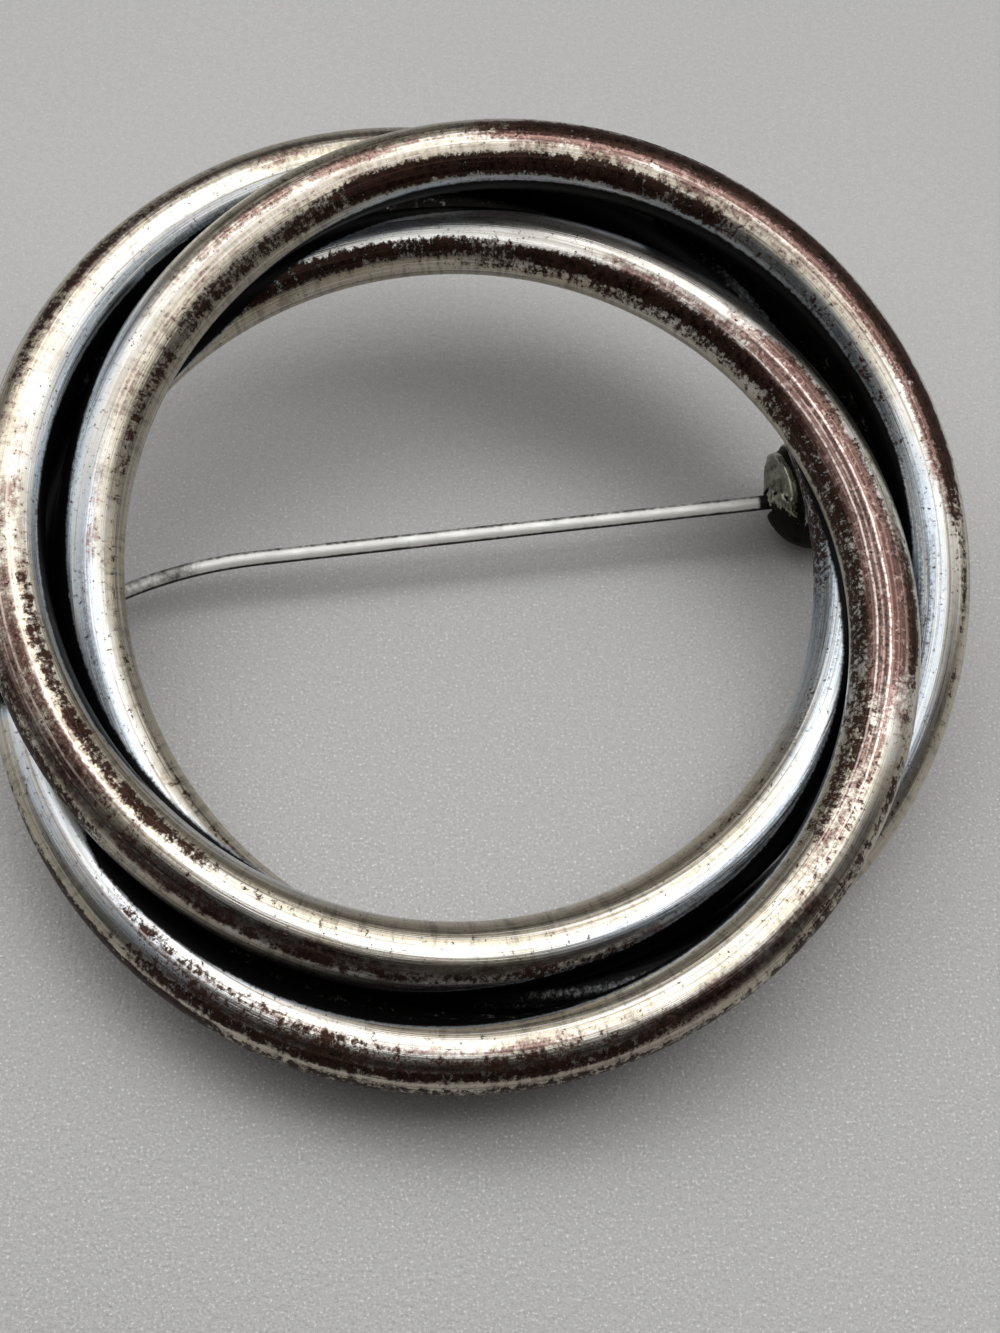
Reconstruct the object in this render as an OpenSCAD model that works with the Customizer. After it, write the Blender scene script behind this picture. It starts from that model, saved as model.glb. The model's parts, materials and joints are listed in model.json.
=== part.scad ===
// Circle brooch: three interlocked tube rings with a ball joint, a catch and a pin stem.
// Millimetres. It lies face up on its ball joint, its catch and its lower rim.

/* [Rings] */
// Radius of each ring's centre line
ring_radius = 17.2; // [12:0.1:25]
// Diameter of the round tube
tube_d = 2.85; // [1.6:0.05:4]
// Distance from the brooch centre to each ring's own centre
ring_offset = 2.05; // [1.2:0.01:3]
// Lean of each ring out of the brooch plane, degrees
ring_lean = 6.44; // [4:0.01:12]
// Diameter of each solder spot between two rings
solder_d = 1.5; // [0.8:0.1:2.4]

/* [Ball joint] */
// Diameter of the ball
ball_d = 4.6; // [3.4:0.1:6]
// Bearing of the ball from the brooch centre, degrees
ball_bearing = 18.95; // [-20:0.05:60]
// Distance of the ball from the brooch centre
ball_reach = 16.6; // [12:0.05:22]
// Width of the slot for the pin's eye
slot_w = 0.95; // [0.7:0.05:1.4]
// Diameter of the rivet
rivet_d = 0.8; // [0.5:0.05:1.2]

/* [Pin stem] */
// Diameter of the pin wire
pin_d = 0.66; // [0.5:0.02:1]
// Bearing in which the pin leaves the ball, degrees
pin_bearing = 187.5; // [170:0.1:210]
// Length from the rivet to the start of the bend
pin_straight = 24.6; // [15:0.1:35]
// Radius of the slight bend towards the catch
bend_radius = 20; // [10:0.5:60]
// Angle of that bend, degrees
bend_angle = 20; // [0:0.5:30]
// Length from the bend to the tip
pin_end = 4.6; // [3:0.1:10]
// Length of the tapered point at the tip
pin_point = 2.8; // [1:0.1:6]

/* [Catch] */
// Outside diameter of the C-shaped catch
catch_d = 2.5; // [2:0.05:3.4]
// Bore of the catch
catch_bore = 1.1; // [0.9:0.05:1.6]
// Length of the catch along the pin
catch_length = 2.4; // [1.5:0.1:4]
// Distance from the end of the bend to the middle of the catch
catch_reach = 2.2; // [1:0.1:6]
// Diameter of the foot that joins the catch to the ring
catch_foot_d = 2; // [1.2:0.1:3]

/* [Hidden] */
$fn = 64;
CUT = 10;               // longer than any small piece that it cuts
SINK = 0.35;            // how deep soldered pieces run into the tube
RIVET_FIT = 0.01;       // radial gap of the rivet in the ball
PIN_FIT = 0.04;         // radial gap of the rivet in the pin's eye
EYE_D = 2;              // diameter of the pin's flattened eye
EYE_T = 0.74;           // thickness of the eye
SLOT_ROOF = 1.15;       // height of the slot above the rivet
TIP_D = 0.12;           // blunt end of the point
BEND_THIN = 0.02;       // how much thinner the pin's bend is than its straight wires
BEND_LAP = 0.5;         // how far the bend runs into each straight wire, degrees
CATCH_LIP = 0.075;      // how far each side of the catch's mouth closes over its bore
RIVET_SHORT = 0.05;     // how far the rivet's ends stay inside the ball
FIRST_UP = [0, 0.17, 0.98];
SETTLE_STEPS = 12;

// One row for each ring. Columns: departure from ring_offset, bearing of the offset,
// rise, departure from ring_lean, bearing of the lean.
RINGS = [
  [-0.12,   11.9,  0.20,  0.69, -90.4],
  [ 0.13, -109.0,  0.01, -0.45, 143.8],
  [-0.01,  125.5, -0.22, -0.23,  35.8]
];
OFFSET = 0;
BEARING = 1;
RISE = 2;
LEAN = 3;
LEAN_BEARING = 4;
LAST_RING = len(RINGS) - 1;

// Where two rings touch and are soldered. Columns: ring, other ring, bearing.
SOLDER = [[0, 1, -15.5], [0, 1, 168.8], [0, 2, -86], [1, 2, 17.2], [1, 2, -163.4]];
SOLDER_BACK = 0.45;     // how far a solder spot lies behind the touching point
BALL_RING = 2;          // ring that carries the ball
CATCH_RING = 1;         // ring that carries the catch

tube_r = tube_d / 2;
ball_r = ball_d / 2;
mouth = catch_bore - 2 * CATCH_LIP;

function unit(v) = v / norm(v);
function on_plan(r, bearing, z) = [r * cos(bearing), r * sin(bearing), z];
function across(v, n) = v - (v * n) * n;

function offset_of(k) = ring_offset + RINGS[k][OFFSET];
function lean_of(k) = ring_lean + RINGS[k][LEAN];
function centre_of(k) = on_plan(offset_of(k), RINGS[k][BEARING], RINGS[k][RISE]);
function normal_of(k) = on_plan(sin(lean_of(k)), RINGS[k][LEAN_BEARING], cos(lean_of(k)));

// Point of ring k's centre line at a bearing from the brooch centre.
function ring_at(k, bearing, r = ring_radius, steps = 3) =
  let (c = centre_of(k), p = c + ring_radius * unit(across(on_plan(r, bearing, 0) - c, normal_of(k))))
  steps == 0 ? p : ring_at(k, bearing, norm([p.x, p.y]), steps - 1);

// The ball hangs under its ring, and the pin lies level with the ball's centre.
ball_z = ring_at(BALL_RING, ball_bearing).z - tube_r - ball_r + SINK;
BALL = on_plan(ball_reach, ball_bearing, ball_z);

// Middle of the catch, along the pin from the ball.
end_bearing = pin_bearing + bend_angle;
bend_end = BALL
  + on_plan(pin_straight + bend_radius * sin(bend_angle), pin_bearing, 0)
  + on_plan(bend_radius * (1 - cos(bend_angle)), pin_bearing + 90, 0);
CATCH = bend_end + on_plan(catch_reach, end_bearing, 0);
catch_arm = sqrt(pow(catch_d, 2) - pow(mouth, 2)) / 2;

// Lowest points of the brooch for an upward direction u: the ball's slotted bottom,
// the ends of the catch's arms and the rings.
function lowest(points, u) =
  let (heights = [for (p = points) p * u])
  [for (i = [0 : len(points) - 1]) if (heights[i] == min(heights)) points[i]][0];
function ball_foot(u) =
  let (side = on_plan(1, pin_bearing + 90, 0), rim = sqrt(pow(ball_r, 2) - pow(slot_w / 2, 2)))
  lowest([for (s = [-1, 1]) BALL + s * slot_w / 2 * side - rim * unit(across(u, side))], u);
function catch_foot(u) =
  lowest([for (s = [-1, 1], t = [-1, 1])
    CATCH + on_plan(s * catch_length / 2, end_bearing, -catch_arm)
      + on_plan(t * mouth / 2, end_bearing + 90, 0)], u);
function ring_foot(k, u) =
  centre_of(k) - ring_radius * unit(across(u, normal_of(k))) - tube_r * u;
function rim_foot(u) = lowest([for (k = [0 : LAST_RING]) ring_foot(k, u)], u);

// Upward direction once the brooch lies still on those three points.
function settle(u, steps) =
  let (b = ball_foot(u), next = unit(cross(rim_foot(u) - b, catch_foot(u) - b)))
  steps == 0 ? u : settle(next.z < 0 ? -next : next, steps - 1);
UP = settle(FIRST_UP, SETTLE_STEPS);

tip_x = atan2(UP.y, UP.z);
tip_y = -atan2(UP.x, norm([UP.y, UP.z]));
AXIS_X = [cos(tip_y), sin(tip_x) * sin(tip_y), cos(tip_x) * sin(tip_y)];
AXIS_Y = [0, cos(tip_x), -sin(tip_x)];

// Middle of the rings' extent along an axis.
function reach(k, e) = ring_radius * norm(across(e, normal_of(k))) + tube_r;
function middle(e) =
  (max([for (k = [0 : LAST_RING]) centre_of(k) * e + reach(k, e)])
    + min([for (k = [0 : LAST_RING]) centre_of(k) * e - reach(k, e)])) / 2;

module at_rest() {
  translate([-middle(AXIS_X), -middle(AXIS_Y), -(ball_foot(UP) * UP)])
    rotate([tip_x, tip_y, 0])
      children();
}

module ring(k) {
  translate(centre_of(k))
    rotate([0, lean_of(k), RINGS[k][LEAN_BEARING]])
      rotate_extrude()
        translate([ring_radius, 0])
          circle(d = tube_d);
}

module solder_spot(row) {
  spot = (ring_at(row[0], row[2]) + ring_at(row[1], row[2])) / 2;
  translate(spot - [0, 0, SOLDER_BACK])
    sphere(d = solder_d);
}

// Moves a piece drawn along +x, with the rivet along y, to the ball.
module at_ball() {
  translate(BALL)
    rotate([0, 0, pin_bearing])
      children();
}

module cross_hole(d) {
  rotate([90, 0, 0])
    cylinder(d = d, h = CUT, center = true);
}

module ball_joint() {
  at_ball() difference() {
    sphere(d = ball_d);
    translate([-CUT / 2, -slot_w / 2, SLOT_ROOF - CUT])
      cube([CUT, slot_w, CUT]);
    cross_hole(rivet_d + 2 * RIVET_FIT);
  }
}

module catch() {
  root_z = ring_at(CATCH_RING, atan2(CATCH.y, CATCH.x)).z - tube_r + SINK;
  translate(CATCH) rotate([0, 0, end_bearing]) difference() {
    union() {
      rotate([0, 90, 0])
        cylinder(d = catch_d, h = catch_length, center = true);
      cylinder(d = catch_foot_d, h = root_z - CATCH.z);
    }
    rotate([0, 90, 0])
      cylinder(d = catch_bore, h = CUT, center = true);
    translate([-CUT / 2, -mouth / 2, -CUT])
      cube([CUT, mouth, CUT]);
  }
}

module ring_frame() {
  color("silver") at_rest() union() {
    for (k = [0 : LAST_RING]) ring(k);
    for (row = SOLDER) solder_spot(row);
    ball_joint();
    catch();
  }
}

module hinge_rivet() {
  color("lightgrey") at_rest() at_ball()
    rotate([90, 0, 0])
      cylinder(d = rivet_d, h = ball_d - 2 * RIVET_SHORT, center = true);
}

module pin_wire(length, d2 = pin_d) {
  rotate([0, 90, 0])
    cylinder(d1 = pin_d, d2 = d2, h = length);
}

// Bend of the wire from the origin, starting along +x and turning towards +y.
module pin_bend() {
  translate([0, bend_radius, 0])
    rotate([0, 0, -90 - BEND_LAP])
      rotate_extrude(angle = bend_angle + 2 * BEND_LAP)
        translate([bend_radius, 0])
          circle(d = pin_d - BEND_THIN);
}

module pin_stem() {
  color("gainsboro") at_rest() at_ball() difference() {
    union() {
      rotate([90, 0, 0])
        cylinder(d = EYE_D, h = EYE_T, center = true);
      translate([rivet_d, 0, 0])
        pin_wire(pin_straight - rivet_d);
      translate([pin_straight, 0, 0])
        pin_bend();
      translate([pin_straight, bend_radius, 0])
        rotate([0, 0, bend_angle])
          translate([0, -bend_radius, 0]) {
            pin_wire(pin_end - pin_point);
            translate([pin_end - pin_point, 0, 0])
              pin_wire(pin_point, TIP_D);
          }
    }
    cross_hole(rivet_d + 2 * PIN_FIT);
  }
}

ring_frame();
hinge_rivet();
pin_stem();
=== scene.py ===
"""Circle brooch of three interlocked tube rings, lying face up on a pale table."""
import json
import math

import bmesh
import bpy
import numpy as np
from mathutils import Matrix, Vector, noise

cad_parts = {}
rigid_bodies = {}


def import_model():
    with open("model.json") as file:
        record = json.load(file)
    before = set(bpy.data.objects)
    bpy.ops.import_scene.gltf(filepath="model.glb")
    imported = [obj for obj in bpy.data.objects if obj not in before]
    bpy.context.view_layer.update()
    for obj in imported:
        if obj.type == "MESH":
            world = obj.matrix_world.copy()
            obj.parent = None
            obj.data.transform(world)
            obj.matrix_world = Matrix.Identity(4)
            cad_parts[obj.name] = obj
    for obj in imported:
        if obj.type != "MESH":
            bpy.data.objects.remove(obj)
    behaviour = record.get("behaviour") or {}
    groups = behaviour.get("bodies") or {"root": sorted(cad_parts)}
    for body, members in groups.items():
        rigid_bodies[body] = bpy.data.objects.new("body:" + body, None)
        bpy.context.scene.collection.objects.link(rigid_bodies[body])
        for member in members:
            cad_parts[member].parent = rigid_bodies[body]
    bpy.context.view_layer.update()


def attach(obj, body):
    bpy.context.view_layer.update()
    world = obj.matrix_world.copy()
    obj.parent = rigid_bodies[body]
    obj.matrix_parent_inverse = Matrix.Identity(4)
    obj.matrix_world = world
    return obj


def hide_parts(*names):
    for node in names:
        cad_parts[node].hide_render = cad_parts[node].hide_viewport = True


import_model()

MM = 0.001
UP = np.array([0, 0, 1.0])

# Sizes in millimetres, as in the CAD source.
RING_R, TUBE_R = 17.2, 1.425

# Each ring's centre and normal as the brooch lies, millimetres.
RINGS = {
    "ring_right": ((1.4984363, 0.5257843, 6.8290197), (0.006094, -0.3141281, 0.9493611)),
    "ring_lower": ((-1.1046168, -1.8499311, 6.1849405), (-0.0769671, -0.1323421, 0.9882113)),
    "ring_left": ((-1.5758635, 1.846071, 6.684339), (0.094973, -0.1306502, 0.9868691)),
}
RING_COLUMNS, RING_ROWS = 720, 96       # vertices along a ring and round its tube
RING_INSET, DENT = 0.008, 0.006         # how far the drawn tube stays inside the solid, and its dents


def unit(v):
    return v / np.linalg.norm(v)


def ring_axes(name):
    """Centre, normal and two axes in the plane of a ring; angle 0 points to +x."""
    centre, normal = (np.array(v, float) for v in RINGS[name])
    normal = unit(normal)
    east = unit(np.array([1.0, 0, 0]) - normal[0] * normal)
    return centre, normal, east, np.cross(normal, east)


# ---------------------------------------------------------------- tarnish charts and painted highlight lines
# Angles in degrees: along the ring from +x, and round the tube from its outer side (0)
# over the top (90) to its inner side (180).

# Bands of black oxide in the gaps. Columns: along, and the band's two edges round the tube.
SOOT = {
    "ring_right": [
        [(-26, 172, 280), (-14, 158, 285), (-4, 147, 290), (4, 143, 290), (18, 138, 290),
         (30, 143, 290), (60, 148, 290), (75, 152, 290), (90, 156, 290), (105, 158, 290),
         (118, 165, 285), (130, 178, 280), (142, 200, 270)],
        [(140, -60, 5), (150, -80, 24), (160, -90, 42), (170, -95, 52), (180, -95, 60), (190, -95, 68),
         (200, -95, 79), (210, -95, 96), (225, -95, 130), (240, -90, 170), (262, -90, 190),
         (285, -70, 195), (300, -30, 205), (312, 50, 210), (322, 100, 200)],
    ],
    "ring_lower": [
        [(54, -80, 8), (64, -90, 34), (74, -95, 40), (82, -95, 50), (90, -95, 64), (98, -95, 75),
         (105, -95, 92), (112, -95, 108), (118, -95, 128), (127, -95, 157), (140, -90, 180),
         (160, -90, 198), (180, -50, 205), (194, 50, 210)],
        [(208, 112, 255), (216, 100, 272), (224, 106, 285), (236, 114, 290), (250, 124, 290),
         (262, 131, 290), (275, 139, 290), (290, 146, 290), (305, 150, 285), (320, 154, 280),
         (332, 160, 275), (344, 172, 265), (354, 192, 255)],
    ],
    "ring_left": [
        [(112, 132, 265), (122, 134, 275), (132, 138, 280), (145, 142, 285), (165, 141, 290),
         (180, 141, 290), (200, 139, 290), (212, 139, 285), (222, 149, 275), (230, 175, 262),
         (238, 192, 250)],
        [(240, -85, -44), (248, -88, -28), (256, -90, -8), (264, -92, 12), (272, -95, 28),
         (282, -95, 40), (294, -95, 51), (306, -95, 60), (318, -95, 68), (330, -95, 82),
         (342, -95, 100), (356, -95, 132), (372, -90, 172), (392, -90, 200), (420, -70, 210),
         (438, 20, 215), (450, 100, 220)],
    ],
}

# Patches of tarnish. Columns: along from, along to, round from, round to, strength.
ROSE = {
    "ring_right": [(8, 98, 36, 92, 0.95), (96, 142, 54, 84, 0.62), (30, 104, 80, 112, 0.46),
                   (70, 92, 88, 108, 0.56), (96, 186, 90, 110, 0.50), (10, 46, 84, 96, 0.30),
                   (172, 214, 108, 126, 0.30)],
    "ring_lower": [(316, 350, 78, 122, 0.60), (346, 406, 64, 134, 1.0), (330, 362, 78, 102, 0.74),
                   (344, 374, 38, 90, 0.80), (340, 386, 96, 112, 0.6), (392, 430, 96, 130, 0.58),
                   (228, 322, 44, 82, 0.66), (226, 292, 82, 98, 0.66), (196, 214, 50, 90, 0.30)],
    "ring_left": [(116, 172, 46, 78, 0.50), (90, 124, 56, 100, 0.42), (176, 226, 30, 92, 0.66),
                  (222, 268, 34, 72, 0.70), (262, 300, 42, 68, 0.62), (180, 232, 92, 120, 0.60),
                  (160, 196, 84, 112, 0.40)],
}
UMBER = {
    "ring_right": [(6, 96, 40, 75, 0.92), (-24, 10, 44, 58, 0.60), (56, 92, 0, 46, 0.60),
                   (84, 136, 34, 62, 0.30), (16, 62, 118, 146, 0.44), (56, 72, 112, 144, 0.85),
                   (66, 121, 104, 144, 0.95), (112, 150, 112, 150, 0.60), (142, 172, 116, 148, 0.54),
                   (180, 232, 130, 146, 0.48), (314, 340, 52, 72, 0.40), (50, 70, 102, 118, 0.44)],
    "ring_lower": [(338, 402, 126, 176, 0.66), (390, 446, 117, 148, 0.95), (396, 452, 142, 172, 0.54),
                   (440, 496, 110, 146, 0.80), (312, 344, 22, 48, 0.62), (344, 372, 32, 60, 0.66),
                   (366, 404, 54, 80, 0.50), (224, 300, 38, 64, 0.76), (224, 296, 60, 84, 0.54),
                   (204, 244, -12, 34, 0.80), (322, 352, 108, 150, 0.60), (200, 330, -16, 30, 0.62),
                   (316, 342, 78, 104, 0.44), (336, 386, 95, 111, 0.50), (218, 252, 80, 104, 0.50),
                   (240, 264, 76, 98, 0.56), (370, 400, 66, 84, 0.38)],
    # ring_left's patch from 124 to 168 along, round 38 to 66, is a painted dark reflection, with real brown
    # tarnish from 145 to 160.
    "ring_left": [(186, 240, 94, 122, 0.64), (198, 226, -8, 34, 0.72), (228, 296, 34, 60, 0.60),
                  (200, 240, 52, 80, 0.46), (124, 168, 38, 66, 0.60), (236, 258, 92, 116, 0.34),
                  (300, 345, 128, 146, 0.42), (184, 216, 10, 44, 0.55), (352, 390, 138, 206, 0.66)],
}
STRAW = {
    "ring_right": [(84, 140, 12, 84, 1.0), (112, 245, 122, 205, 0.85), (50, 112, 136, 152, 0.6),
                   (24, 178, 84, 150, 0.80), (306, 372, 0, 66, 1.0), (-10, 80, 14, 44, 0.5)],
    "ring_lower": [(255, 350, 108, 165, 0.95), (56, 145, 144, 215, 0.9), (190, 350, -20, 60, 0.9),
                   (262, 346, 60, 130, 0.62), (-16, 50, 20, 60, 0.8), (-10, 60, 150, 210, 0.7)],
    "ring_left": [(222, 365, 110, 215, 1.0), (86, 178, 16, 84, 1.0), (200, 260, 0, 40, 0.7),
                  (84, 122, 56, 102, 1.0), (178, 236, 26, 140, 0.82), (232, 326, 94, 130, 0.9),
                  (140, 182, 78, 112, 0.45), (246, 292, 54, 84, 0.7)],
}
# Grey-blue patches that dull and darken the silver: a painted reflection of a bluish window on the sides that
# face it. Columns as above.
HAZE_AND_SHEEN = {
    "ring_right": [(-16, 64, 124, 152, 0.9), (152, 245, 30, 64, 1.0), (172, 222, 76, 99, 1.0),
                   (350, 376, 120, 156, 0.9), (328, 372, 97, 148, 1.0), (324, 340, 74, 98, 0.8),
                   (22, 110, 144, 166, 0.9)],
    "ring_lower": [(46, 92, 10, 54, 0.70), (190, 218, 54, 96, 0.50), (214, 236, 60, 98, 0.60),
                   (196, 240, 88, 116, 0.4), (84, 114, 66, 112, 0.42)],
    "ring_left": [(108, 160, 114, 146, 0.9), (160, 200, 128, 150, 0.8), (290, 362, 58, 90, 0.9),
                  (328, 384, 100, 130, 0.9), (336, 368, 120, 200, 0.8), (212, 262, 140, 170, 0.4)],
}
# Breaks in the oxide where metal glints through. Columns as above.
GLINT = {
    "ring_right": [(270, 304, 82, 104, 0.36), (262, 276, 70, 82, 0.3)],
    "ring_lower": [(250, 330, 146, 176, 0.16)],
    "ring_left": [(24, 50, 84, 106, 0.38), (44, 76, 108, 146, 0.10), (94, 110, 120, 190, 0.2),
                  (228, 238, 140, 168, 0.8)],
}
# Bright lines along the tube, painted highlights, in three sets. Columns: along from, along to, round at each
# end, strength.
HIGHLIGHT_LINES = {
    "ring_right": [[(84, 196, 87, 90, 0.9), (-20, 60, 104, 100, 0.6)],
                   [(92, 206, 97, 100, 0.8), (20, 84, 92, 88, 0.5)],
                   [(60, 122, 146, 150, 0.5), (176, 236, 108, 106, 0.8)]],
    "ring_lower": [[(312, 408, 91, 93, 1.0), (196, 240, 84, 86, 0.9)],
                   [(318, 412, 112, 114, 0.95), (206, 300, 100, 110, 0.9)],
                   [(330, 398, 102, 104, 0.45), (222, 330, 34, 40, 0.5)]],
    "ring_left": [[(176, 226, 68, 66, 0.8), (286, 346, 80, 96, 0.6)],
                  [(170, 250, 88, 90, 0.8), (112, 170, 116, 112, 0.5)],
                  [(186, 240, 58, 52, 0.55), (262, 340, 96, 112, 0.6)]],
}


BAND_SOFT, BAND_END, HIGHLIGHT_END = 7.0, 5, 14      # degrees over which bands and painted highlight lines fade


def smooth(x):
    x = np.clip(x, 0, 1)
    return x * x * (3 - 2 * x)


def soft_box(angle, low, high, soft):
    """1 between two angles in degrees, fading over soft degrees on each side of them."""
    mid, half = (low + high) / 2, (high - low) / 2
    off = np.abs((angle - mid + 180) % 360 - 180)
    return smooth((half - off) / soft / 2 + 0.5)


def patches(rows, along, round_, soft_along, soft_round):
    """Strength at each (along, round) of soft-edged boxes; the highest counts."""
    out = np.zeros(along.shape)
    for a0, a1, r0, r1, strength in rows:
        a, r = soft_box(along, a0, a1, soft_along), soft_box(round_, r0, r1, soft_round)
        out = np.maximum(out, strength * a * r)
    return out


def bands(tables, along, round_):
    """1 inside the charted bands, fading at their edges."""
    out = np.zeros(along.shape)
    for rows in tables:
        t = np.array(rows, float)
        a = t[0, 0] + (along - t[0, 0]) % 360
        low, high = np.interp(a, t[:, 0], t[:, 1]), np.interp(a, t[:, 0], t[:, 2])
        ends = smooth(np.minimum(a - t[0, 0], t[-1, 0] - a) / BAND_END)
        out = np.maximum(out, ends * soft_box(round_, low, high, BAND_SOFT))
    return out


def highlight_line(rows, along):
    """Strength of a painted highlight line along a ring, and its angle round the tube."""
    level, at = np.zeros(along.shape), np.full(along.shape, 90.0)
    for a0, a1, r0, r1, strength in rows:
        t = (along - a0) % 360 / (a1 - a0)
        fade = smooth(np.minimum(t, 1 - t) * (a1 - a0) / HIGHLIGHT_END)
        level = np.where(t <= 1, strength * fade, level)
        at = np.where(t <= 1, r0 + (r1 - r0) * t, at)
    return level, at


# ---------------------------------------------------------------- meshes
def link(name, data):
    ob = bpy.data.objects.new(name, data)
    bpy.context.scene.collection.objects.link(ob)
    return ob


def mesh_object(name, verts, faces):
    me = bpy.data.meshes.new(name)
    me.from_pydata([tuple(v) for v in verts], [], [tuple(f) for f in faces])
    me.update()
    me.polygons.foreach_set("use_smooth", [True] * len(me.polygons))
    return link(name, me)


def put(me, name, kind, values):
    """Stores one value for each vertex, which the materials read by name."""
    at = me.attributes.new(name, kind, "POINT")
    at.data.foreach_set("vector" if kind == "FLOAT_VECTOR" else "value", np.asarray(values, np.float32).ravel())


def grid_faces(n, m):
    """Quads of an n by m grid that closes on itself both ways."""
    i, j = np.meshgrid(np.arange(n), np.arange(m), indexing="ij")
    i2, j2 = (i + 1) % n, (j + 1) % m
    return np.stack([i * m + j, i2 * m + j, i2 * m + j2, i * m + j2], -1).reshape(-1, 4)


def face_outward(ob):
    bm = bmesh.new()
    bm.from_mesh(ob.data)
    bmesh.ops.recalc_face_normals(bm, faces=bm.faces)
    bm.to_mesh(ob.data)
    bm.free()


def evaluated(ob):
    """Vertices, their normals and the faces of an object with its modifiers applied."""
    bpy.context.view_layer.update()
    me = bpy.data.meshes.new_from_object(ob.evaluated_get(bpy.context.evaluated_depsgraph_get()))
    verts = np.array([v.co for v in me.vertices])
    normals = np.array([v.normal for v in me.vertices])
    faces = [tuple(f.vertices) for f in me.polygons]
    bpy.data.meshes.remove(me)
    return verts, normals, faces


def discard(objects):
    """Removes temporary objects and their meshes."""
    for ob in objects:
        old = ob.data
        bpy.data.objects.remove(ob)
        bpy.data.meshes.remove(old)


def near_tube(points, name):
    """Distance of points to a ring's tube, and the direction to it."""
    centre, normal, _, _ = ring_axes(name)
    d = points - centre
    h = d @ normal
    flat = d - h[..., None] * normal
    r = np.linalg.norm(flat, axis=-1)
    to = centre + RING_R * flat / r[..., None] - points
    dist = np.linalg.norm(to, axis=-1)
    return dist - TUBE_R, to / dist[..., None]


WAVES = 5                               # sines in a tube's dents


def wander(along, seed, lowest=2):
    """Slow periodic waver along a ring, about -1 to 1."""
    rng = np.random.default_rng(seed)
    out = np.zeros_like(along)
    for k in range(WAVES):
        size = rng.uniform(0.4, 1.0) / (k + 1)
        out += size * np.sin(np.radians(along) * (lowest + 2 * k) + rng.uniform(0, 6.28))
    return out / 1.6


def unwrap_ring(me, n, m):
    """UV of the tube: u once along the ring, v once round it, with a seam at 0."""
    uv = me.uv_layers.new(name="tube")
    loops = np.zeros(len(me.loops), np.int32)
    me.loops.foreach_get("vertex_index", loops)
    i, j = loops // m, loops % m
    first_i, first_j = (np.repeat(index.reshape(-1, 4)[:, :1], 4, 1).ravel() for index in (i, j))
    u = np.where((first_i == n - 1) & (i == 0), n, i) / n
    v = np.where((first_j == m - 1) & (j == 0), m, j) / m
    uv.data.foreach_set("uv", np.stack([u, v], -1).astype(np.float32).ravel())


def make_ring(name, seed):
    n, m = RING_COLUMNS, RING_ROWS
    centre, normal, east, north = ring_axes(name)
    along, round_ = np.meshgrid(np.arange(n) * 360 / n, np.arange(m) * 360 / m, indexing="ij")
    a, r = np.radians(along), np.radians(round_)
    radial = np.cos(a)[..., None] * east + np.sin(a)[..., None] * north
    out = np.cos(r)[..., None] * radial + np.sin(r)[..., None] * normal
    dents = DENT * (wander(along, seed) * np.cos(r - 1.2) + wander(along, seed + 1, lowest=5) * np.sin(2 * r))
    radius = TUBE_R - RING_INSET + dents.clip(-0.02, RING_INSET)
    points = centre + RING_R * radial + radius[..., None] * out
    ob = mesh_object(name, points.reshape(-1, 3) * MM, grid_faces(n, m))

    # How much each place faces the back, and how close another tube is to it. The umber and straw on the
    # back, and the black where another tube comes close, are painted shade.
    back = smooth((-np.sin(r) - 0.35) / 0.4)
    close, beside = np.zeros(along.shape), np.zeros(along.shape)
    for other in RINGS:
        if other == name:
            continue
        gap, to = near_tube(points, other)
        facing = smooth(((out * to).sum(-1) + 0.3) / 0.9)
        close = np.maximum(close, smooth((0.45 - gap) / 0.45) * facing)
        beside = np.maximum(beside, smooth((1.7 - gap) / 1.2) * facing)
    oxide = bands(SOOT[name], along, round_) * (1 - back * (1 - beside))

    # The silver's noises run over these four axes, which close on themselves both ways.
    me = ob.data
    put(me, "flow", "FLOAT_VECTOR", np.stack([RING_R * np.cos(a), RING_R * np.sin(a), TUBE_R * np.cos(r)], -1))
    put(me, "flow_w", "FLOAT", TUBE_R * np.sin(r))
    put(me, "rose", "FLOAT", patches(ROSE[name], along, round_, 12, 12))
    put(me, "umber", "FLOAT", np.maximum(patches(UMBER[name], along, round_, 11, 10), 0.40 * back))
    put(me, "straw", "FLOAT", np.maximum(patches(STRAW[name], along, round_, 16, 16), 0.9 * back))
    put(me, "haze_and_sheen", "FLOAT", patches(HAZE_AND_SHEEN[name], along, round_, 24, 22))
    put(me, "oxide_grime_shade", "FLOAT", np.maximum(oxide, close) * (1 - patches(GLINT[name], along, round_, 9, 8)))
    for k, rows in enumerate(HIGHLIGHT_LINES[name]):
        level, at = highlight_line(rows, along)
        put(me, f"worn_{k}", "FLOAT", level)
        put(me, f"worn_{k}_at", "FLOAT", at)
    unwrap_ring(me, n, m)
    return ob


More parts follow.
